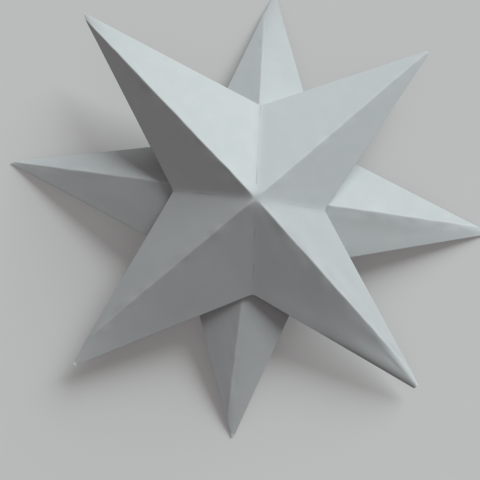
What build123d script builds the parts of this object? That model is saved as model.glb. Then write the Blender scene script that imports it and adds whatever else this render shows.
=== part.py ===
"""Eight-pointed star folded from two square sheets of white paper.

Each sheet is slit from the middle of its four sides towards the centre. Its diagonals are creased
up into ridges and its midlines down into valleys. The two loose flaps beside each corner are then
turned under and glued on one another, which makes the corner a hollow three-sided point.

The rear sheet rests on its four tips. The front sheet is turned by half a quarter turn, and the
inner ends of its slits sit on the ridges of the rear one.

X and Y span the star and +Z points out of its front. The origin is in the middle of the rear
tips, on the surface that they rest on. Lengths are in millimetres, and angles in degrees.
"""
import os
from math import atan2, cos, sin, sqrt

from build123d import *

os.makedirs("parts", exist_ok=True)

# The flat sheets
sheet_side = 150.0
slit_length = 37.5
paper_depth = 0.2  # thickness of the paper, measured straight down
tip_wear = 2.5  # length worn off a usual point

# How far the sheets are folded, and how they sit on each other
rear_peak_height = 26.3
peak_spacing = 5.9  # front peak above the rear one
front_offset = 2.4  # front sheet, towards the rear sheet's bottom point
seat_clearance = 0.75  # front slit ends above the rear ridges

# Folding by hand leaves each point a little different. The tables go round from +X towards +Y,
# each valley after the tip before it. Turns are away from the even star.
rear_tip_turns = (-1.1, -0.8, -3.8, 1.0)
rear_valley_turns = (0.4, 2.2, 0.6, 3.4)
front_tip_turns = (1.8, 2.8, 2.5, 3.4)
front_valley_turns = (-2.9, -2.3, 5.6, -3.6)

# How far out the tips lie, as shares of half the sheet's diagonal
rear_tip_shares = (1.014, 0.917, 0.998, 0.955)
front_tip_shares = (0.961, 0.973, 0.939, 1.011)

# How far out the valleys end, as shares of the midline between the slits
rear_valley_shares = (0.968, 0.862, 0.974, 0.965)
front_valley_shares = (1.066, 0.864, 0.976, 0.819)

# Where the ridges run out, as shares of a rim, from the tip. Above zero, it is the rim on the +Y
# side of the +X point and so on round; below zero, it is the other one.
rear_ridge_end_shares = (0.082, 0.151, -0.023, -0.102)
front_ridge_end_shares = (0.021, 0.04, -0.164, 0.116)

# How worn the tips are, as shares of the usual wear
rear_wear_shares = (1.0, 1.0, 0.6, 1.0)
front_wear_shares = (1.0, 0.5, 1.0, 2.0)

# Heights, as shares of the rear peak's
rear_valley_height_shares = (0.465, 0.486, 0.55, 0.555)
front_tip_height_shares = (0.553, 0.86, 0.3, 0.203)

# Values that follow from the sheet
half_side = sheet_side / 2
half_diagonal = half_side * sqrt(2)
valley_length = half_side - slit_length
flap_angle = atan2(slit_length, half_side)  # between a flap's fold and its free side
point_count = 4
point_turn = 360 / point_count
up = Vector(0, 0, 1)
down = Vector(0, 0, -1)


def place(turn, reach, height):
    """Point at a turn round the upright axis, a distance out from it and a height."""
    return Vector(reach, 0, height).rotate(Axis.Z, turn)


def ridge_height(peak, tip, reach):
    """Height of the ridge from a peak to a tip, at a distance out from the peak."""
    run = Vector(tip.X - peak.X, tip.Y - peak.Y, 0)
    return peak.Z + (tip.Z - peak.Z) * reach / run.length


def folded_sheet(peak, tips, valleys, ridge_end_shares, wear_shares):
    """One folded sheet: round its peak, each point is a ridged roof over two glued flaps."""
    with BuildPart() as sheet:
        for index, tip in enumerate(tips):
            left, right = valleys[index], valleys[index - 1]

            # The flaps fold under along the rims, from the tip to the slit ends, and reach no further
            # than the other rim. The right one is inside, and the left one is glued over it.
            for near, far, side in ((left, right, down), (right, left, up)):
                rim = near - tip
                back = Plane(tip, x_dir=rim, z_dir=rim.cross(far - tip))
                side_middle = (half_side * cos(flap_angle), half_side * sin(flap_angle))
                with BuildSketch(back):
                    with BuildLine():
                        Polyline((0, 0), (rim.length, 0), side_middle, close=True)
                    make_face()
                    with BuildLine():
                        Polyline((0, 0), (rim.length, 0), back.to_local_coords(far), close=True)
                    make_face(mode=Mode.INTERSECT)
                extrude(amount=paper_depth, dir=side)

            # The ridge runs out on one rim, a little short of the tip. The panel on that side is
            # flat, and the other one twists to reach the tip. The inner flap is trimmed under them.
            stray_share = ridge_end_shares[index]
            near, far = (left, right) if stray_share > 0 else (right, left)
            ridge_end = tip + (near - tip) * abs(stray_share)
            ridge = ridge_end - peak
            slope = Plane(peak, x_dir=ridge, z_dir=ridge.cross(near - peak))
            with BuildSketch(slope, mode=Mode.PRIVATE) as flat_panel:
                with BuildLine():
                    Polyline((0, 0), (ridge.length, 0), slope.to_local_coords(near), close=True)
                make_face()
            ridge_line = Edge.make_line(peak, ridge_end)
            rim_line = Edge.make_line(far, tip)
            twisted_panel = Face.make_surface_from_curves(ridge_line, rim_line)
            for panel in (flat_panel.sketch, twisted_panel):
                extrude(panel, amount=2 * paper_depth, dir=up, mode=Mode.SUBTRACT)
                extrude(panel, amount=paper_depth, dir=down)

            # The sharp end of the point is worn off
            outward = Vector(tip.X - peak.X, tip.Y - peak.Y, 0).normalized()
            blunt_end = tip - outward * (tip_wear * wear_shares[index])
            split(bisect_by=Plane(blunt_end, z_dir=outward), keep=Keep.BOTTOM)
    return sheet


# The rear sheet's corners, round its own peak
rear_peak = Vector(0, 0, rear_peak_height)
rear_tips = []
rear_valleys = []
for index in range(point_count):
    tip_turn = point_turn * index + rear_tip_turns[index]
    valley_turn = point_turn * (index + 1 / 2) + rear_valley_turns[index]
    valley_height = rear_peak_height * rear_valley_height_shares[index]
    rear_tips.append(place(tip_turn, half_diagonal * rear_tip_shares[index], 0))
    rear_valleys.append(place(valley_turn, valley_length * rear_valley_shares[index], valley_height))

# The front sheet's corners. The slit end after each tip sits on the rear ridge that it lies over.
front_axis = Vector(0, -front_offset, 0)
front_peak = front_axis + up * (rear_peak_height + peak_spacing)
front_tips = []
front_valleys = []
for index in range(point_count):
    tip_turn = point_turn * (index + 1 / 2) + front_tip_turns[index]
    valley_turn = point_turn * (index + 1) + front_valley_turns[index]
    tip_height = rear_peak_height * front_tip_height_shares[index]
    front_tips.append(front_axis + place(tip_turn, half_diagonal * front_tip_shares[index], tip_height))
    slit_end = front_axis + place(valley_turn, valley_length * front_valley_shares[index], 0)
    seat_height = ridge_height(rear_peak, rear_tips[(index + 1) % point_count], slit_end.length)
    front_valleys.append(slit_end + up * (seat_height + paper_depth + seat_clearance))

rear_star = folded_sheet(rear_peak, rear_tips, rear_valleys, rear_ridge_end_shares, rear_wear_shares)
front_star = folded_sheet(front_peak, front_tips, front_valleys, front_ridge_end_shares, front_wear_shares)

# The origin goes to the middle of the base
base = rear_star.part.bounding_box()
to_origin = Location((-base.center().X, -base.center().Y, -base.min.Z))
for name, star in (("rear_star", rear_star), ("front_star", front_star)):
    star.part = star.part.moved(to_origin)
    star.part.label = name
    export_step(star.part, f"parts/{name}.step")
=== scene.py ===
# %% [markdown]
# # A star folded from two sheets of paper
#
# The object is an eight-pointed star. Two square sheets of white paper are slit, creased and folded
# into four hollow points each, and the front sheet lies turned over the rear one. The CAD model has
# both sheets as crisp solids. This lesson folds the same two sheets again, with the soft folds, the
# worn tips and the matte surface that real paper has, and then sets up a floor, light and camera.
#
# The CAD model comes first, as a fixed frame. Everything is in metres, in its coordinates.

# %% Load the CAD frame
from math import atan2, cos, exp, radians, sin, sqrt

import bmesh
import bpy
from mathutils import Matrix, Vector
from mathutils.geometry import intersect_point_line


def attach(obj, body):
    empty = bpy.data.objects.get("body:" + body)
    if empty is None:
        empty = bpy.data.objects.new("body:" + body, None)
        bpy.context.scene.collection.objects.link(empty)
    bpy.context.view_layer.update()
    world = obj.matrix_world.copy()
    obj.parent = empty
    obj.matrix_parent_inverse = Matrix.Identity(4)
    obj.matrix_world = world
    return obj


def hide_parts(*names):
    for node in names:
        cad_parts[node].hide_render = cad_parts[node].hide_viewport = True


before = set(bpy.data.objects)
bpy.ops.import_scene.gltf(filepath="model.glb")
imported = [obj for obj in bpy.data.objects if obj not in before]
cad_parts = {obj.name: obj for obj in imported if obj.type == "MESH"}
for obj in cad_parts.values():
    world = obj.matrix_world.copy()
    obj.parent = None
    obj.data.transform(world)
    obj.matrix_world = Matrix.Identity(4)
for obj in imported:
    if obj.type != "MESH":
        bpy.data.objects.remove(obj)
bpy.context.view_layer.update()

# %% [markdown]
# ## The corners of the folds
#
# A folded sheet is known once its corners are: the peak in its middle, the four tips, and the four
# inner ends of the slits, where the valleys end. The corners could be read off the CAD mesh, but
# the values that the part is drawn from say more. They are the size of the sheet, and for each
# point how far the hand that folded it strayed from an even star.
#
# Paper gives way where the rigid CAD solids can't. The front sheet's slit ends at the top and on the
# right are pushed aside by the rear ridges, so here they lie up to 3 mm from where the CAD has them.

# %% The flat sheet
MM = 0.001
sheet_side = 150 * MM
slit_length = 37.5 * MM
half_side = sheet_side / 2
half_diagonal = half_side * sqrt(2)
valley_length = half_side - slit_length
print("flat sheet", sheet_side / MM, "mm, point length", round(half_diagonal / MM, 1), "mm")

# %% How each point strays from the even star
# The tables go round from +X towards +Y. Each row is a tip, and the valley after it: turns off the
# even star in degrees, reaches as shares of the sheet's own, the rim share at which the ridge runs
# out (below zero on the clockwise rim), and the height of what isn't held by something else, as a
# share of the rear peak's. Wear, a bare end and a puffed rim are shares of the usual ones below.
rear_table = (
    dict(tip=(-1.1, 1.014), valley=(0.4, 0.968), ridge_end=0.082, valley_height=0.465, wear=1.0),
    dict(tip=(-0.8, 0.917), valley=(2.2, 0.862), ridge_end=0.151, valley_height=0.486, wear=1.0),
    dict(tip=(-3.8, 0.998), valley=(0.6, 0.974), ridge_end=-0.023, valley_height=0.55, wear=0.6, bare=0.6),
    dict(tip=(1.0, 0.955), valley=(3.4, 0.965), ridge_end=-0.102, valley_height=0.555, wear=1.0, bare=0.9),
)
front_table = (
    dict(tip=(1.8, 0.961), valley=(1.1, 1.092), ridge_end=0.021, tip_height=0.553, wear=1.0),
    dict(tip=(2.8, 0.973), valley=(-2.3, 0.864), ridge_end=0.04, tip_height=0.86, wear=0.5, bare=0.5),
    dict(tip=(2.5, 0.939), valley=(5.6, 0.976), ridge_end=-0.164, tip_height=0.3, wear=1.0, bare=1.0),
    dict(tip=(3.4, 1.011), valley=(-0.3, 0.768), ridge_end=0.116, tip_height=0.203, wear=2.0, puff=1.0),
)
for name, table in (("rear", rear_table), ("front", front_table)):
    print(name, "tips are turned by", [row["tip"][0] for row in table], "degrees")

# %% [markdown]
# The corners are first placed round the rear peak, which is how the sheets are measured. The front
# sheet's slit ends sit on the rear ridges, so their heights follow from the rear corners.

# %% Work out the corners
paper_depth = 0.2 * MM
rear_peak_height = 26.3 * MM
peak_spacing = 5.9 * MM  # front peak above the rear one
front_offset = 2.4 * MM  # front sheet, towards the rear sheet's bottom point
seat_clearance = 0.75 * MM  # front slit ends above the rear ridges
rear_turn = 0
front_turn = 45
quarter_turn = 90
eighth_turn = 45
up = Vector((0, 0, 1))


def place(turn, reach, height=0.0):
    """Point at a turn in degrees round the upright axis, a distance out from it and a height."""
    return Vector((reach * cos(radians(turn)), reach * sin(radians(turn)), height))


rear_peak = up * rear_peak_height
front_axis = Vector((0, -front_offset, 0))
front_peak = front_axis + up * (rear_peak_height + peak_spacing)
rear_tips = []
rear_valleys = []
front_tips = []
front_valleys = []
for index, row in enumerate(rear_table):
    turn = rear_turn + quarter_turn * index
    rear_tips.append(place(turn + row["tip"][0], half_diagonal * row["tip"][1]))
    valley_reach = valley_length * row["valley"][1]
    valley_height = rear_peak_height * row["valley_height"]
    rear_valleys.append(place(turn + eighth_turn + row["valley"][0], valley_reach, valley_height))
for index, row in enumerate(front_table):
    turn = front_turn + quarter_turn * index
    tip_height = rear_peak_height * row["tip_height"]
    front_tips.append(front_axis + place(turn + row["tip"][0], half_diagonal * row["tip"][1], tip_height))
    slit_end = front_axis + place(turn + eighth_turn + row["valley"][0], valley_length * row["valley"][1])
    rear_tip = rear_tips[(index + 1) % len(rear_tips)]
    ridge_height = rear_peak_height * (1 - slit_end.length / rear_tip.length)
    front_valleys.append(slit_end + up * (ridge_height + paper_depth + seat_clearance))
print("front valleys end", [round(end.z / MM, 1) for end in front_valleys], "mm above the base")

# %% [markdown]
# Then the corners are moved into the CAD frame, in which the origin is in the middle of the base.
# The rear peak is the highest vertex of its CAD node, so it tells how far that is.

# %% Put the corners in the CAD frame
def highest(node):
    """Highest vertex of a CAD node."""
    return max((vertex.co.copy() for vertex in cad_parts[node].data.vertices), key=lambda co: co.z)


to_frame = highest("rear_star") - rear_peak
rear_peak, front_peak = rear_peak + to_frame, front_peak + to_frame
rear_tips, front_tips = [[tip + to_frame for tip in tips] for tips in (rear_tips, front_tips)]
rear_valleys, front_valleys = [[end + to_frame for end in ends] for ends in (rear_valleys, front_valleys)]
peak_error = (highest("front_star") - front_peak).length / MM
print("front peak is", round(peak_error, 4), "mm from the CAD node's")

# %% [markdown]
# ## The paper
#
# The sheets are uncoated wove paper, the kind that copier and drawing paper are. Its surface is a
# felt of fibres, so it scatters light evenly and shows no gloss, and held to the light it is a little
# cloudy. Where it is creased the fibres break, so a ridge turns slightly paler. Along each valley a
# fine grey line that comes and goes is painted shade, where shade falls into the crease. The worn
# ends show the paler fibres inside the sheet.
#
# A photograph could be projected on it, but then it would only suit one light. Noise patterns on
# the sheet's own flat coordinates run on across the folds, as the fibres do, and the creases follow
# distances that the mesh carries along.

# %% A helper for colours, and one for nodes
def linear(hex_colour):
    """Linear RGBA from an sRGB hex colour."""
    channels = [int(hex_colour[start : start + 2], 16) / 255 for start in (1, 3, 5)]
    return (*[c / 12.92 if c <= 0.04045 else ((c + 0.055) / 1.055) ** 2.4 for c in channels], 1.0)


def add_node(tree, kind, inputs=(), **settings):
    """Adds a node. Its inputs go by name or number, each a value, or a node or output to link."""
    node = tree.nodes.new(kind)
    for name, value in settings.items():
        setattr(node, name, value)
    for key, value in dict(inputs).items():
        by_name = [socket for socket in node.inputs if socket.name == key and socket.enabled]
        socket = by_name[0] if by_name else node.inputs[key]
        if isinstance(value, bpy.types.Node):
            value = next(output for output in value.outputs if output.enabled)
        if isinstance(value, bpy.types.NodeSocket):
            tree.links.new(value, socket)
        else:
            socket.default_value = value
    return node


thick_felt = "#DEE3E4"
thin_felt = "#E6E9EA"
print("paper in linear light:", [round(channel, 3) for channel in linear(thin_felt)[:3]])

# %% Uncoated wove paper: clouds and fibres in the felt
cloud_size = 7 * MM  # uneven formation of the felt
fibre_size = 0.9 * MM  # real fibres are a tenth of that, too fine to show here
stretch_length = 16 * MM  # over which the painted shade lines in the valleys come and go
felt_patterns = {
    "clouds": {"Scale": 1 / cloud_size, "Detail": 3.0, "Roughness": 0.55},
    "fibres": {"Scale": 1 / fibre_size, "Detail": 4.0, "Roughness": 0.65, "Distortion": 0.6},
    "stretches": {"Scale": 1 / stretch_length, "Detail": 2.0},
}

# Felted fibres scatter light all ways: the eye sees an even, slightly cloudy white without gloss
paper = bpy.data.materials.new("Uncoated wove paper, matte white")
paper.use_nodes = True
wove = paper.node_tree
wove.nodes.clear()
sheet_uv = add_node(wove, "ShaderNodeUVMap", uv_map="flat sheet")
felt = {
    name: add_node(wove, "ShaderNodeTexNoise", {"Vector": sheet_uv, **values}, noise_dimensions="2D")
    for name, values in felt_patterns.items()
}
clouding = {"Factor": felt["clouds"], "A": linear(thick_felt), "B": linear(thin_felt)}
tone = add_node(wove, "ShaderNodeMix", clouding, data_type="RGBA")
print("felt: clouds", cloud_size / MM, "mm, fibres", fibre_size / MM, "mm")

# %% Marks of creasing and wear on it, and painted shade in the valleys
valley_shade_width = 0.32 * MM  # width of the painted shade, a grey line in a valley
scuff_width = 0.8 * MM  # paler line on a ridge
scuff_strength = 0.6
raw_width = 1.3 * MM  # paler paper at a worn end
raw_strength = 1.0
# Painted shade in the valleys: how dark the grey line is, coming and going along them
valley_shade_strength = add_node(
    wove,
    "ShaderNodeMapRange",
    {"Value": felt["stretches"], "From Min": 0.45, "From Max": 0.65, "To Min": 0.03, "To Max": 0.4},
    interpolation_type="SMOOTHSTEP",
)
marks = (
    # painted shade: a grey line along each valley, where shade falls into the crease
    ("from_valley", valley_shade_width, valley_shade_strength, "#7F8486"),
    ("from_ridge", scuff_width, scuff_strength, "#F0F2F2"),
    ("from_end", raw_width, raw_strength, "#F0F2F2"),
)
for note, width, strength, colour in marks:
    distance = add_node(wove, "ShaderNodeAttribute", attribute_name=note).outputs["Fac"]
    mark = add_node(
        wove,
        "ShaderNodeMapRange",
        {"Value": distance, "From Max": width, "To Min": strength, "To Max": 0.0},
        interpolation_type="SMOOTHSTEP",
    )
    marking = {"Factor": mark, "A": tone, "B": linear(colour)}
    tone = add_node(wove, "ShaderNodeMix", marking, data_type="RGBA")
    print(note, "mark is", round(width / MM, 2), "mm wide")

# %% Its matte surface
fibre_relief = 0.015 * MM
smoothest = 0.82
roughest = 0.98
roughness = add_node(
    wove, "ShaderNodeMapRange", {"Value": felt["fibres"], "To Min": smoothest, "To Max": roughest}
)
relief = add_node(
    wove, "ShaderNodeBump", {"Strength": 0.5, "Distance": fibre_relief, "Height": felt["fibres"]}
)
surface = add_node(
    wove,
    "ShaderNodeBsdfPrincipled",
    {"Base Color": tone, "Roughness": roughness, "IOR": 1.5, "Specular IOR Level": 0.12, "Normal": relief},
)
add_node(wove, "ShaderNodeOutputMaterial", {"Surface": surface})
print("paper finish:", len(wove.nodes), "nodes")

# %% [markdown]
# ## The flat sheet and its crease pattern
#
# Each quarter of the sheet becomes one point. Five straight lines run out through it to its corner:
# the sheet's edge, a fold that will be a rim, the ridge, the other rim and the other edge. Between
# them lie four strips: a flap, two panels and another flap. A plain grid would not have an edge on
# each fold, so the mesh is laid out along those five lines.
#
# For each vertex the mesh carries the ends of the two lines that it lies between, once the sheet is
# folded, and its shares along and across. That is all that the fold needs.

# %% One point: its lines when flat and when folded
flap_angle = atan2(slit_length, half_side)  # between a flap's fold and its free side


def side_middle(tip, near, far):
    """Where the middle of the sheet's side comes to lie, once the flap is turned under."""
    rim = (near - tip).normalized()
    across = far - tip
    across = (across - rim * across.dot(rim)).normalized()
    return tip + half_side * (cos(flap_angle) * rim + sin(flap_angle) * across)


def point_lines(peak, tip, left, right, left_middle, right_middle, stray):
    """The five lines of a point, each as its inner and its outer end."""
    ridge_end = tip + ((left if stray > 0 else right) - tip) * abs(stray)
    return (
        (left_middle, tip),
        (left, ridge_end if stray > 0 else tip),
        (peak, ridge_end),
        (right, tip if stray > 0 else ridge_end),
        (right_middle, tip),
    )


def flat_lines(turn, stray):
    """The same lines on the flat sheet."""
    left_turn, right_turn = turn + eighth_turn, turn - eighth_turn
    return point_lines(
        Vector((0, 0, 0)),
        place(turn, half_diagonal),
        place(left_turn, valley_length),
        place(right_turn, valley_length),
        place(left_turn, half_side),
        place(right_turn, half_side),
        stray,
    )


even_lines = flat_lines(rear_turn, 0)
strip_count = len(even_lines) - 1
line_lengths = [round((outer - inner).length / MM, 1) for inner, outer in even_lines]
print("lines of a flat point:", line_lengths, "mm")

# %% [markdown]
# The surface has to bend at the folds and is nearly flat elsewhere. Even columns would need to be
# very many to bend it there, so the columns and rows are drawn close together beside each fold.

# %% Columns and rows close together at the folds
strip_columns = 10
point_rows = 26
valley_spacings = (3.4 * MM, 6.0 * MM, 9.0 * MM)
rim_spacings = (0.4 * MM, 1.3 * MM, 3.5 * MM, 9 * MM)
ridge_spacings = (0.7 * MM, 2.0 * MM, 5.0 * MM, 10 * MM)
strip_spacings = (
    (rim_spacings, rim_spacings),
    (rim_spacings, ridge_spacings),
    (ridge_spacings, rim_spacings),
    (rim_spacings, rim_spacings),
)


def column_shares(length, spacings):
    """Shares across a strip at which its columns lie, for a row of that length."""
    even = [column / strip_columns for column in range(strip_columns + 1)]
    if length == 0:
        return even
    first, last = spacings
    shares = list(even)
    for step, spacing in enumerate(first, start=1):
        shares[step] = min(spacing / length, even[step])
    for step, spacing in enumerate(last, start=1):
        shares[-1 - step] = 1 - min(spacing / length, even[step])
    return shares


def row_shares():
    """Shares along a point at which its rows lie, from the valleys to the tip."""
    shares = [0.0, *[spacing / half_diagonal for spacing in valley_spacings]]
    even_rows = point_rows + 1 - len(shares)
    start = shares[-1]
    return shares + [start + (1 - start) * step / even_rows for step in range(1, even_rows + 1)]


left_panel = 1  # the strips go from the left flap, which is 0, to the right one
right_panel = 2
panels = (left_panel, right_panel)
panel_shares = column_shares(valley_length, strip_spacings[left_panel])
print("columns across a panel where it is widest:", [round(share, 3) for share in panel_shares])
print("rows along a point:", [round(share, 3) for share in row_shares()])

# %% [markdown]
# The mesh also notes how far each vertex is from a rim, a ridge and a valley, for the soft waves,
# the thickness and the finish of the paper. These are plain distances from straight lines.

# %% Distances from the folds
blunt_reach = 4.0 * MM  # round the peak, which is pressed blunt
far_away = 50 * MM


def distance_to(spot, line):
    """Distance of a spot from the straight line through two others."""
    return (spot - intersect_point_line(spot, *line)[0]).length


def own_rim(strip, folded):
    """The rim on a strip's side of the ridge."""
    _, left_rim, _, right_rim, _ = folded
    return left_rim if strip <= left_panel else right_rim


def fold_distances(spot, strip, across, folded, peak):
    """How far a spot is from the rims, the ridge and the valley."""
    _, left_rim, ridge, right_rim, _ = folded
    from_rim = min(distance_to(spot, left_rim), distance_to(spot, right_rim))
    from_ridge = distance_to(spot, ridge) if strip in panels else far_away
    valley = (peak, own_rim(strip, folded)[0])
    on_valley = strip in panels or across == 0  # a flap can start on the rim, where the valley ends
    from_valley = distance_to(spot, valley) if on_valley else far_away
    from_valley += max(0, blunt_reach - (spot - peak).length)  # no painted valley shade at the blunt peak
    return from_rim, from_ridge, from_valley


print("rear peak to its first valley's end:", round((rear_valleys[0] - rear_peak).length / MM, 1), "mm")

# %% [markdown]
# The flaps lie in three layers with the panels. The left flap is glued over the right one, so it
# lies one paper thickness below the plane through the rims, and the right one just above it. Both
# meet the rim itself, so the step fades out there. The panels keep to their lines except in two
# places: the peak is pressed blunt, and one rim is puffed up beside its fold.

# %% Layers: how far a spot is off its straight lines
outer_flap_step = -paper_depth
inner_flap_step = 0.03 * MM
step_width = 0.6 * MM  # over which a flap leaves its rim
blunt_slope = 0.2  # fall of the ridges away from the peak
puff_height = 0.6 * MM
puff_reach = 1.9 * MM  # from a rim to the top of the puff beside it
puff_start, puff_full = 0.35, 0.65  # shares along the point


def flap_layer(spot, strip, rim):
    """Step of a flap below or above the plane through the rims."""
    step = outer_flap_step if strip <= left_panel else inner_flap_step
    return step * min(1, distance_to(spot, rim) / step_width)


def panel_layer(spot, along, peak, from_rim, from_ridge, puff):
    """Rise of a panel: blunt at the peak, and puffed at a rim."""
    reach_share = min(1, (spot - peak).length / blunt_reach)
    cap_height = peak.z - blunt_slope * blunt_reach * (1 + reach_share**2) / 2
    rise = max(0, min(1, (along - puff_start) / (puff_full - puff_start)))
    beside_rim = from_rim / puff_reach * exp(1 - from_rim / puff_reach)
    puffed = puff * rise * beside_rim * min(1, from_ridge / puff_reach)
    return puffed + (1 - reach_share**2) ** 2 * (cap_height - spot.z)


peak_fall = -panel_layer(rear_peak, 0, rear_peak, far_away, 0, 0)
print("the blunt peaks are", round(peak_fall / MM, 2), "mm lower than sharp ones")

# %% [markdown]
# With that, a point can be laid out row by row and strip by strip. A vertex that two strips share is
# made once, by the strip that starts there.

# %% Lay out a point
vector_names = ("flat", "line_a_start", "line_a_end", "line_b_start", "line_b_end")
fold_names = ("from_rim", "from_ridge", "from_valley")
number_names = ("along", "across", "layer", *fold_names, "from_fold", "from_end")


def on_line(line, along):
    """Spot at a share along a line."""
    return line[0].lerp(line[1], along)


def lay_out_point(notes, flat, folded, peak, cut, outward, puff):
    """Adds one point's vertices to the notes, and gives its faces."""
    first_vertex = len(notes["flat"])
    for row, along in enumerate(row_shares()):
        for strip in range(strip_count):
            line_a, line_b = folded[strip : strip + 2]
            start, end = on_line(line_a, along), on_line(line_b, along)
            flat_start, flat_end = [on_line(line, along) for line in flat[strip : strip + 2]]
            length = 0 if row == point_rows else (end - start).length
            shares = column_shares(length, strip_spacings[strip])
            if strip < strip_count - 1:
                shares.pop()  # the next strip starts there
            for across in shares:
                spot = start.lerp(end, across)
                distances = fold_distances(spot, strip, across, folded, peak)
                from_rim, from_ridge, _ = distances
                if strip in panels:
                    strip_puff = puff if strip == right_panel else 0
                    layer = panel_layer(spot, along, peak, from_rim, from_ridge, strip_puff)
                    from_fold = min(distances)
                else:
                    layer = flap_layer(spot, strip, own_rim(strip, folded))
                    from_fold = 0
                vectors = (flat_start.lerp(flat_end, across), *line_a, *line_b)
                numbers = (along, across, layer, *distances, from_fold, (cut - spot).dot(outward))
                for name, value in zip((*vector_names, *number_names), (*vectors, *numbers)):
                    notes[name].append(value)
    columns = strip_count * strip_columns + 1
    faces = []
    for row in range(point_rows):
        for column in range(columns - 1):
            corner = first_vertex + row * columns + column
            faces.append((corner, corner + 1, corner + columns + 1, corner + columns))
    return faces


print("notes on each vertex:", ", ".join((*vector_names, *number_names)))

# %% Lay out a sheet
tip_wear = 2.52 * MM  # length worn off a usual point, just inside the CAD tip


def worn_end(row, peak, tip):
    """Where a worn point ends, and the level direction that it points in."""
    outward = Vector((tip.x - peak.x, tip.y - peak.y, 0)).normalized()
    return tip - outward * tip_wear * row["wear"], outward


def lay_out_sheet(name, turn, table, peak, tips, valleys):
    """The flat sheet's mesh, with the notes for its folds."""
    notes = {key: [] for key in (*vector_names, *number_names)}
    faces = []
    for index, row in enumerate(table):
        tip, left, right = tips[index], valleys[index], valleys[index - 1]
        middles = (side_middle(tip, left, right), side_middle(tip, right, left))
        folded = point_lines(peak, tip, left, right, *middles, row["ridge_end"])
        flat = flat_lines(turn + quarter_turn * index, row["ridge_end"])
        puff = puff_height * row.get("puff", 0)
        faces += lay_out_point(notes, flat, folded, peak, *worn_end(row, peak, tip), puff)
    mesh = bpy.data.meshes.new(name)
    mesh.from_pydata(notes["flat"], [], faces)
    panel_flags = [face // strip_columns % strip_count in panels for face in range(len(faces))]
    mesh.attributes.new("panel", "INT", "FACE").data.foreach_set("value", panel_flags)
    for key in vector_names:
        values = [number for vector in notes[key] for number in vector]
        mesh.attributes.new(key, "FLOAT_VECTOR", "POINT").data.foreach_set("vector", values)
    for key in number_names:
        mesh.attributes.new(key, "FLOAT", "POINT").data.foreach_set("value", notes[key])
    flat_map = mesh.uv_layers.new(name="flat sheet")
    for loop in mesh.loops:
        flat_map.data[loop.index].uv = notes["flat"][loop.vertex_index].xy
    return mesh


rear_flat = lay_out_sheet("rear_sheet", rear_turn, rear_table, rear_peak, rear_tips, rear_valleys)
front_flat = lay_out_sheet("front_sheet", front_turn, front_table, front_peak, front_tips, front_valleys)
for flat_mesh in (rear_flat, front_flat):
    area = sum(polygon.area for polygon in flat_mesh.polygons) / MM**2
    print(flat_mesh.name, len(flat_mesh.polygons), "faces, flat area", round(area), "square mm")

# %% [markdown]
# ## Folding the sheet with Geometry Nodes
#
# The fold follows one rule for every vertex: go along both lines by the same share, then across
# from one to the other. Mesh code could do that as well, but a tree of nodes keeps the fold open to
# change: a fold of 0 leaves the sheet flat, and 1 gives the finished star.

# %% The fold tree: its inputs, and the notes that it reads
fold_tree = bpy.data.node_groups.new("Fold a slit sheet", "GeometryNodeTree")
fold_tree.interface.new_socket("Geometry", in_out="OUTPUT", socket_type="NodeSocketGeometry")
fold_sockets = {
    name: fold_tree.interface.new_socket(name, in_out="INPUT", socket_type=kind).identifier
    for name, kind in (
        ("Sheet", "NodeSocketGeometry"),
        ("Fold", "NodeSocketFloat"),
        ("Join distance", "NodeSocketFloat"),
        ("Softening levels", "NodeSocketInt"),
        ("Wave height", "NodeSocketFloat"),
        ("Wave length", "NodeSocketFloat"),
        ("Held width", "NodeSocketFloat"),
        ("Wobble height", "NodeSocketFloat"),
        ("Wobble length", "NodeSocketFloat"),
        ("Wobble width", "NodeSocketFloat"),
        ("Seed", "NodeSocketFloat"),
        ("Paper", "NodeSocketMaterial"),
    )
}
given = add_node(fold_tree, "NodeGroupInput").outputs
noted = {
    name: add_node(fold_tree, "GeometryNodeInputNamedAttribute", {"Name": name}, data_type=kind)
    for names, kind in ((vector_names, "FLOAT_VECTOR"), (number_names, "FLOAT"))
    for name in names
}
print("fold tree inputs:", ", ".join(fold_sockets))

# %% The fold tree: along the lines, then across
on_line_a, on_line_b = [
    add_node(
        fold_tree,
        "ShaderNodeMix",
        {"Factor": noted["along"], "A": noted[f"{line}_start"], "B": noted[f"{line}_end"]},
        data_type="VECTOR",
    )
    for line in ("line_a", "line_b")
]
crossing = {"Factor": noted["across"], "A": on_line_a, "B": on_line_b}
between = add_node(fold_tree, "ShaderNodeMix", crossing, data_type="VECTOR")
layer = add_node(fold_tree, "ShaderNodeCombineXYZ", {"Z": noted["layer"]})
layered = add_node(fold_tree, "ShaderNodeVectorMath", {0: between, 1: layer}, operation="ADD")
folding = {"Factor": given["Fold"], "A": noted["flat"], "B": layered}
folded_place = add_node(fold_tree, "ShaderNodeMix", folding, data_type="VECTOR")
folded_up = add_node(
    fold_tree, "GeometryNodeSetPosition", {"Geometry": given["Sheet"], "Position": folded_place}
)
print("fold tree:", len(fold_tree.nodes), "nodes that fold")

# %% [markdown]
# Once folded, what meets in the valleys and at the ends of the ridges is joined. Subdivision then
# rounds the folds off, as far as the next column or row, so the spacing above is what sets how soft
# they are. A bevel would be as wide at the tips, where there is no room for it.

# %% The fold tree: join and soften
joined = add_node(
    fold_tree, "GeometryNodeMergeByDistance", {"Geometry": folded_up, "Distance": given["Join distance"]}
)
softened = add_node(
    fold_tree,
    "GeometryNodeSubdivisionSurface",
    {"Mesh": joined, "Level": given["Softening levels"]},
    boundary_smooth="PRESERVE_CORNERS",
)
print("fold tree:", len(fold_tree.nodes), "nodes with joining and softening")

# %% [markdown]
# Next come shallow waves, since no sheet stays quite flat. They fade out towards the folds, which
# hold the paper straight. The ridges wander a little instead, because no hand creases a line quite
# straight. Both follow noise on the flat sheet, with a fixed seed for each sheet.

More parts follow.
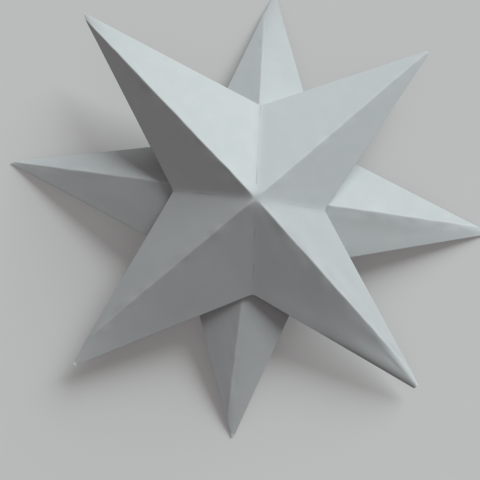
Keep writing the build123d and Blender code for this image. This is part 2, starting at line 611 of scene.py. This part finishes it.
# %% The fold tree: noise for the waves and the wandering ridges
noise = {}
for name in ("Wave", "Wobble"):
    scale = add_node(fold_tree, "ShaderNodeMath", {0: 1.0, 1: given[f"{name} length"]}, operation="DIVIDE")
    noise[name] = add_node(
        fold_tree,
        "ShaderNodeTexNoise",
        {"Vector": noted["flat"], "W": given["Seed"], "Scale": scale, "Detail": 1.0},
        noise_dimensions="4D",
    )
print("noise for:", ", ".join(noise))

# %% The fold tree: shallow waves
swing = add_node(
    fold_tree,
    "ShaderNodeMapRange",
    {"Value": noise["Wave"], "From Min": 0.25, "From Max": 0.75, "To Min": -1.0},
)
loose = add_node(
    fold_tree,
    "ShaderNodeMapRange",
    {"Value": noted["from_fold"], "From Max": given["Held width"], "To Max": given["Wave height"]},
    interpolation_type="SMOOTHSTEP",
)
wave = add_node(fold_tree, "ShaderNodeMath", {0: swing, 1: loose}, operation="MULTIPLY")
normal = add_node(fold_tree, "GeometryNodeInputNormal")
lift = add_node(fold_tree, "ShaderNodeVectorMath", {"Vector": normal, "Scale": wave}, operation="SCALE")
waved = add_node(fold_tree, "GeometryNodeSetPosition", {"Geometry": softened, "Offset": lift})
print("fold tree:", len(fold_tree.nodes), "nodes with waves")

# %% The fold tree: ridges that wander a little, and the end of the tree
middle_grey = (0.5, 0.5, 0.5)  # of the noise, so that it goes to each side
to_each_side = add_node(
    fold_tree,
    "ShaderNodeVectorMath",
    {0: noise["Wobble"].outputs["Color"], 1: middle_grey},
    operation="SUBTRACT",
)
width, height = given["Wobble width"], given["Wobble height"]
at_ridge = add_node(
    fold_tree,
    "ShaderNodeMapRange",
    {"Value": noted["from_ridge"], "From Max": width, "To Min": height, "To Max": 0.0},
    interpolation_type="SMOOTHSTEP",
)
off_rim = add_node(
    fold_tree,
    "ShaderNodeMapRange",
    {"Value": noted["from_rim"], "From Max": width},
    interpolation_type="SMOOTHSTEP",
)
wobble = add_node(fold_tree, "ShaderNodeMath", {0: at_ridge, 1: off_rim}, operation="MULTIPLY")
shift = add_node(
    fold_tree, "ShaderNodeVectorMath", {"Vector": to_each_side, "Scale": wobble}, operation="SCALE"
)
wandering = add_node(fold_tree, "GeometryNodeSetPosition", {"Geometry": waved, "Offset": shift})
real = add_node(fold_tree, "GeometryNodeRealizeInstances", {"Geometry": wandering})
finished = add_node(fold_tree, "GeometryNodeSetMaterial", {"Geometry": real, "Material": given["Paper"]})
add_node(fold_tree, "NodeGroupOutput", {"Geometry": finished})
print("fold tree:", len(fold_tree.nodes), "nodes in all")

# %% [markdown]
# ## Worn tips and the thickness of the paper
#
# On the real star the sharp ends of the points are worn off square, and each ends in a narrow line
# of paper edges. At some of them the panels are worn further back than the flaps, whose bare ends
# bend up a little. A boolean cut through the finished paper could take the ends off, but cutting the
# tips before the paper gets its thickness leaves clean open edges to close.

# %% Cut off the worn tips
bare_end = 0.9 * MM  # of the flaps, where the panels over them are worn off
end_rise = 0.22  # slope by which a bare end bends up


def cut_across(draft, spot, outward, clear_outer=False):
    """Cuts a sheet straight across at a spot."""
    everything = [*draft.verts, *draft.edges, *draft.faces]
    bmesh.ops.bisect_plane(draft, geom=everything, plane_co=spot, plane_no=outward, clear_outer=clear_outer)


def cut_tips(mesh, table, peak, tips):
    """Takes off what wear has taken, straight across each point, and a little more of its top layer."""
    draft = bmesh.new()
    draft.from_mesh(mesh)
    on_panel = draft.faces.layers.int["panel"]
    for row, tip in zip(table, tips):
        end, outward = worn_end(row, peak, tip)
        cut_across(draft, end, outward, clear_outer=True)
        bare_length = bare_end * row.get("bare", 0)
        if bare_length == 0:
            continue
        top_end = end - outward * bare_length
        cut_across(draft, top_end, outward)
        beyond = [
            face
            for face in draft.faces
            if face[on_panel] and (face.calc_center_median() - top_end).dot(outward) > 0
        ]
        bmesh.ops.delete(draft, geom=beyond, context="FACES")
        for vertex in draft.verts:
            vertex.co.z += end_rise * max(0, (vertex.co - top_end).dot(outward))
    draft.to_mesh(mesh)
    draft.free()


bare_count = sum("bare" in row for row in (*rear_table, *front_table))
print("tips with bare ends:", bare_count)

# %% [markdown]
# Solidify then closes each layer with its own cut edge. Pressed folds are thinner than the open
# sheet, so the thickness fades out towards the rims, where three layers meet in half a millimetre.

# %% Give the paper its thickness
pressed_share = 0.05  # of the thickness, left at a rim
pressed_width = 4 * MM


def make_plain(sheet):
    """Leaves a sheet with the plain mesh that its modifiers give."""
    depsgraph = bpy.context.evaluated_depsgraph_get()
    plain_mesh = bpy.data.meshes.new_from_object(
        sheet.evaluated_get(depsgraph), preserve_all_data_layers=True, depsgraph=depsgraph
    )
    sheet.modifiers.clear()
    sheet.data = plain_mesh


def thicken(sheet):
    """Closes a cut sheet to paper with a thickness."""
    pressing = sheet.vertex_groups.new(name="thickness")
    for index, note in enumerate(sheet.data.attributes["from_rim"].data):
        pressing.add([index], min(1.0, pressed_share + note.value / pressed_width), "REPLACE")
    wall = sheet.modifiers.new("Thickness", "SOLIDIFY")
    wall.thickness = paper_depth
    wall.offset = -1
    wall.vertex_group = "thickness"
    make_plain(sheet)
    sheet.vertex_groups.clear()


pressed_depth = pressed_share * paper_depth
print("paper", round(paper_depth / MM, 2), "mm, pressed to", round(pressed_depth / MM, 2), "mm")

# %% Fold both sheets
fold_values = {
    "Fold": 1.0,
    "Join distance": 0.001 * MM,
    "Softening levels": 1,
    "Wave height": 0.2 * MM,
    "Wave length": 38 * MM,
    "Held width": 9 * MM,
    "Wobble height": 0.6 * MM,
    "Wobble length": 7 * MM,
    "Wobble width": 4 * MM,
    "Paper": paper,
}
rear_seed = 3.0
front_seed = 8.0
sharp_angle = radians(35)


def fold_sheet(flat_mesh, seed, table, peak, tips):
    """A folded sheet as one closed, plain mesh, with the notes that its finish reads."""
    sheet = bpy.data.objects.new(flat_mesh.name, flat_mesh)
    bpy.context.collection.objects.link(sheet)
    folder = sheet.modifiers.new("Fold", "NODES")
    folder.node_group = fold_tree
    for name, value in {**fold_values, "Seed": seed}.items():
        folder[fold_sockets[name]] = value
    make_plain(sheet)
    cut_tips(sheet.data, table, peak, tips)
    thicken(sheet)
    shading_notes = [note for note, *_ in marks]
    for name in (*vector_names, *number_names, "panel"):
        if name not in shading_notes:
            sheet.data.attributes.remove(sheet.data.attributes[name])
    sheet.data.name = sheet.name
    sheet.data.shade_smooth()
    sheet.data.set_sharp_from_angle(angle=sharp_angle)
    return sheet


rear_sheet = fold_sheet(rear_flat, rear_seed, rear_table, rear_peak, rear_tips)
front_sheet = fold_sheet(front_flat, front_seed, front_table, front_peak, front_tips)
print("folded:", rear_sheet.name, "and", front_sheet.name)

# %% Measure the folded sheets
for sheet in (rear_sheet, front_sheet):
    draft = bmesh.new()
    draft.from_mesh(sheet.data)
    triangles = sum(len(face.verts) - 2 for face in draft.faces)
    open_edges = sum(not edge.is_manifold for edge in draft.edges)
    volume = draft.calc_volume(signed=True) / MM**3
    print(sheet.name, triangles, "triangles,", open_edges, "open edges,", round(volume), "cubic mm")
    draft.free()

# %% [markdown]
# Each sheet stands for its CAD node, and nothing on the star moves, so both ride on its one body.

# %% Tie the sheets to the CAD model
for sheet, node in ((rear_sheet, "rear_star"), (front_sheet, "front_star")):
    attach(sheet, "root")
    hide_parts(node)

# %% [markdown]
# ## Floor
#
# The star lies on its rear points, so a plain pale floor takes its shadow. A pale floor also throws
# light up under the points and lifts their shaded sides. So it is pale, with a slight glow, only to
# rays that show it to the eye, straight or by way of a mirror or glass. To all others it is a darker
# grey, which keeps the folds as deep as they look in daylight.

# %% Paint for the floor
floor_lift = 0.12  # glow that lights nothing


def shown_rays(tree):
    """Node that gives 1 for rays that show a surface to the eye, straight, mirrored or through glass."""
    rays = add_node(tree, "ShaderNodeLightPath").outputs
    shown = rays["Is Camera Ray"]
    for name in ("Is Glossy Ray", "Is Transmission Ray"):
        shown = add_node(tree, "ShaderNodeMath", {0: shown, 1: rays[name]}, operation="MAXIMUM")
    return shown


# Matte paint scatters light evenly, so the eye sees nothing on it but the star's soft shadow
floor_paint = bpy.data.materials.new("Matte floor paint, pale grey")
floor_paint.use_nodes = True
paint = floor_paint.node_tree
paint.nodes.clear()
pale = add_node(paint, "ShaderNodeBsdfDiffuse", {"Color": linear("#E2E2E1")})
glow = add_node(paint, "ShaderNodeEmission", {"Color": linear("#FFFEFD"), "Strength": floor_lift})
lifted = add_node(paint, "ShaderNodeAddShader", {0: pale, 1: glow})
dim = add_node(paint, "ShaderNodeBsdfDiffuse", {"Color": linear("#55524F")})
seen = add_node(paint, "ShaderNodeMixShader", {0: shown_rays(paint), 1: dim, 2: lifted})
add_node(paint, "ShaderNodeOutputMaterial", {"Surface": seen})
print("floor paint:", len(paint.nodes), "nodes")

# %% A pale floor
floor_half = 3.0
floor_drop = 0.02 * MM
floor_sides = ((-1, -1), (1, -1), (1, 1), (-1, 1))
floor_corners = [(x * floor_half, y * floor_half, -floor_drop) for x, y in floor_sides]
floor_mesh = bpy.data.meshes.new("floor")
floor_mesh.from_pydata(floor_corners, [], [(0, 1, 2, 3)])
floor_mesh.materials.append(floor_paint)
floor = bpy.data.objects.new("floor", floor_mesh)
bpy.context.collection.objects.link(floor)
print("floor", 2 * floor_half, "m square")

# %% [markdown]
# ## Light
#
# The star was lit by a window, from the upper right and rather low, which is why panels that differ
# by a few degrees differ so much in tone. An area lamp could stand for the window, but close by it
# would burn out the floor beneath it. A sun lamp as wide as the window looks from the star gives the
# same soft shadows and an even floor. The world gives the much weaker light of the room.

# %% Window light
window_turn = 60  # degrees round from +X
window_height = 23  # degrees above the floor
window_width = 36  # degrees that the window spans, seen from the star
window_strength = 3.05
window_tint = "#F6FFFF"

window = bpy.data.lights.new("window", "SUN")
window.angle = radians(window_width)
window.energy = window_strength
window.color = linear(window_tint)[:3]
window_lamp = bpy.data.objects.new("window", window)
window_lamp.location = place(window_turn, cos(radians(window_height)), sin(radians(window_height)))
window_lamp.rotation_euler = window_lamp.location.to_track_quat("Z", "Y").to_euler()
bpy.context.collection.objects.link(window_lamp)
print("window lamp at", [round(c, 2) for c in window_lamp.location], "m")

# %% Room light
room_level = 0.14
wall_level = 1.0  # at which the wall shows as its colour is written

room = bpy.data.worlds.new("room")
room.use_nodes = True
room_tree = room.node_tree
room_tree.nodes.clear()
air = add_node(room_tree, "ShaderNodeBackground", {"Color": linear("#FFF5F6"), "Strength": room_level})
wall = add_node(room_tree, "ShaderNodeBackground", {"Color": linear("#D9DADA"), "Strength": wall_level})
seen = add_node(room_tree, "ShaderNodeMixShader", {0: shown_rays(room_tree), 1: air, 2: wall})
add_node(room_tree, "ShaderNodeOutputWorld", {"Surface": seen})
bpy.context.scene.world = room
print("room light has", room_level, "of the strength of the wall that shows")

# %% [markdown]
# ## Camera
#
# The camera looks down on the star from 24 cm above, about five degrees off the upright. So close,
# the raised front tips look larger than the rear ones. Its place and lens were worked out from the
# corners of the star in the picture, by matching them with the corners above.

# %% Camera at the photo's place
sensor_width = 36  # mm
focal_length = 41.775  # mm
camera_place = (-12.656 * MM, -34.107 * MM, 240.09 * MM)
camera_turns = (4.502, -2.629, 5.645)  # degrees

camera_data = bpy.data.cameras.new("camera")
camera_data.sensor_width = sensor_width
camera_data.lens = focal_length
camera = bpy.data.objects.new("camera", camera_data)
camera.location = camera_place
camera.rotation_euler = [radians(turn) for turn in camera_turns]
bpy.context.collection.objects.link(camera)
scene = bpy.context.scene
scene.camera = camera
scene.view_settings.view_transform = "Standard"
print("camera", round(camera.location.z / MM), "mm above the floor")
